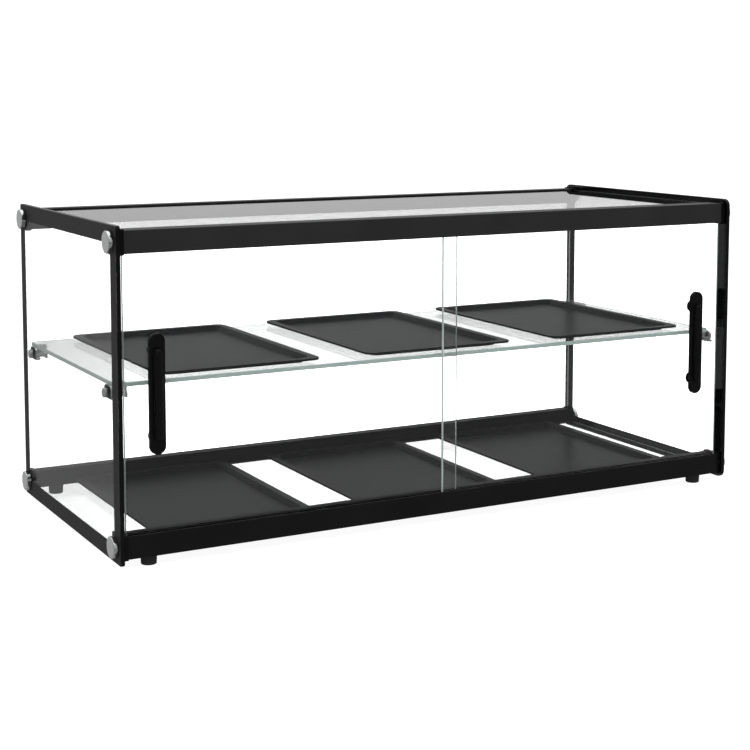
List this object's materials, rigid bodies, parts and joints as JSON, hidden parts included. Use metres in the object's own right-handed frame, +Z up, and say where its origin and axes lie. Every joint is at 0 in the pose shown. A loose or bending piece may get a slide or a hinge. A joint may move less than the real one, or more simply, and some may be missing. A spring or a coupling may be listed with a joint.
{
  "type": "countertop bakery display case",
  "caption": "Glass countertop bakery display case with black rails, sliding rear doors, a glass shelf on brackets and shallow metal trays.",
  "frame": {"origin": "middle of the bounding box's underside, on the surface that the rubber feet stand on", "axes": "+X along the case's length, to the right for somebody who faces the sliding doors; +Y from the doors towards the customer's pane; +Z up"},
  "size_m": [0.862, 0.3712, 0.381],
  "materials": {
    "printed_end_glass": "clear float glass with a matte black border printed on the outer face",
    "clear_glass": "clear float glass with polished edges",
    "shelf_glass": "clear float glass with aqua ground edges",
    "black_aluminium": "satin black anodised extrusion",
    "black_gloss_plastic": "glossy black moulding",
    "knob_metal": "matte grey face with a bright turned rim",
    "soft_washer": "soft dark washer",
    "plain_steel": "zinc-plated steel",
    "bright_chrome": "polished chrome plating",
    "clear_pad": "soft translucent pad",
    "black_rubber": "matte black rubber",
    "tray_metal": "dark coated sheet with a soft sheen"
  },
  "bodies": {
    "case": {"left_end_panel": "printed_end_glass", "right_end_panel": "printed_end_glass", "door_side_bottom_rail": "black_aluminium", "door_side_top_rail": "black_aluminium", "customer_side_bottom_rail": "black_aluminium", "customer_side_top_rail": "black_aluminium", "door_side_bottom_rail_caps": "black_gloss_plastic", "door_side_top_rail_caps": "black_gloss_plastic", "customer_side_bottom_rail_caps": "black_gloss_plastic", "customer_side_top_rail_caps": "black_gloss_plastic", "clamp_knobs": "knob_metal", "knob_washers": "soft_washer", "clamp_studs": "plain_steel", "top_glass": "clear_glass", "base_glass": "clear_glass", "customer_glass": "clear_glass", "shelf_brackets": "bright_chrome", "shelf_bracket_pads": "clear_pad", "shelf_bracket_bolts": "plain_steel", "shelf_bracket_thumb_nuts": "bright_chrome", "rubber_feet": "black_rubber", "foot_screws": "plain_steel"},
    "left_door": {"left_door_glass": "clear_glass", "left_door_handle": "black_gloss_plastic", "left_handle_rosettes": "black_gloss_plastic", "left_handle_screws": "plain_steel"},
    "right_door": {"right_door_glass": "clear_glass", "right_door_handle": "black_gloss_plastic", "right_handle_rosettes": "black_gloss_plastic", "right_handle_screws": "plain_steel"},
    "shelf": {"shelf_glass": "shelf_glass"},
    "shelf_tray_left": {"shelf_tray_left": "tray_metal"},
    "shelf_tray_middle": {"shelf_tray_middle": "tray_metal"},
    "shelf_tray_right": {"shelf_tray_right": "tray_metal"},
    "base_tray_left": {"base_tray_left": "tray_metal"},
    "base_tray_middle": {"base_tray_middle": "tray_metal"},
    "base_tray_right": {"base_tray_right": "tray_metal"}
  },
  "joints": [
    {"name": "left_door_slide", "type": "slide", "parent": "case", "child": "left_door", "axis": [1, 0, 0], "range_m": [0, 0.35]},
    {"name": "right_door_slide", "type": "slide", "parent": "case", "child": "right_door", "axis": [1, 0, 0], "range_m": [-0.35, 0]},
    {"name": "shelf_lift", "type": "slide", "parent": "case", "child": "shelf", "axis": [0, 0, 1], "range_m": [0, 0.05]},
    {"name": "shelf_tray_left_lift", "type": "slide", "parent": "shelf", "child": "shelf_tray_left", "axis": [0, 0, 1], "range_m": [0, 0.04]},
    {"name": "shelf_tray_middle_lift", "type": "slide", "parent": "shelf", "child": "shelf_tray_middle", "axis": [0, 0, 1], "range_m": [0, 0.04]},
    {"name": "shelf_tray_right_lift", "type": "slide", "parent": "shelf", "child": "shelf_tray_right", "axis": [0, 0, 1], "range_m": [0, 0.04]},
    {"name": "base_tray_left_lift", "type": "slide", "parent": "case", "child": "base_tray_left", "axis": [0, 0, 1], "range_m": [0, 0.04]},
    {"name": "base_tray_middle_lift", "type": "slide", "parent": "case", "child": "base_tray_middle", "axis": [0, 0, 1], "range_m": [0, 0.04]},
    {"name": "base_tray_right_lift", "type": "slide", "parent": "case", "child": "base_tray_right", "axis": [0, 0, 1], "range_m": [0, 0.04]}
  ]
}
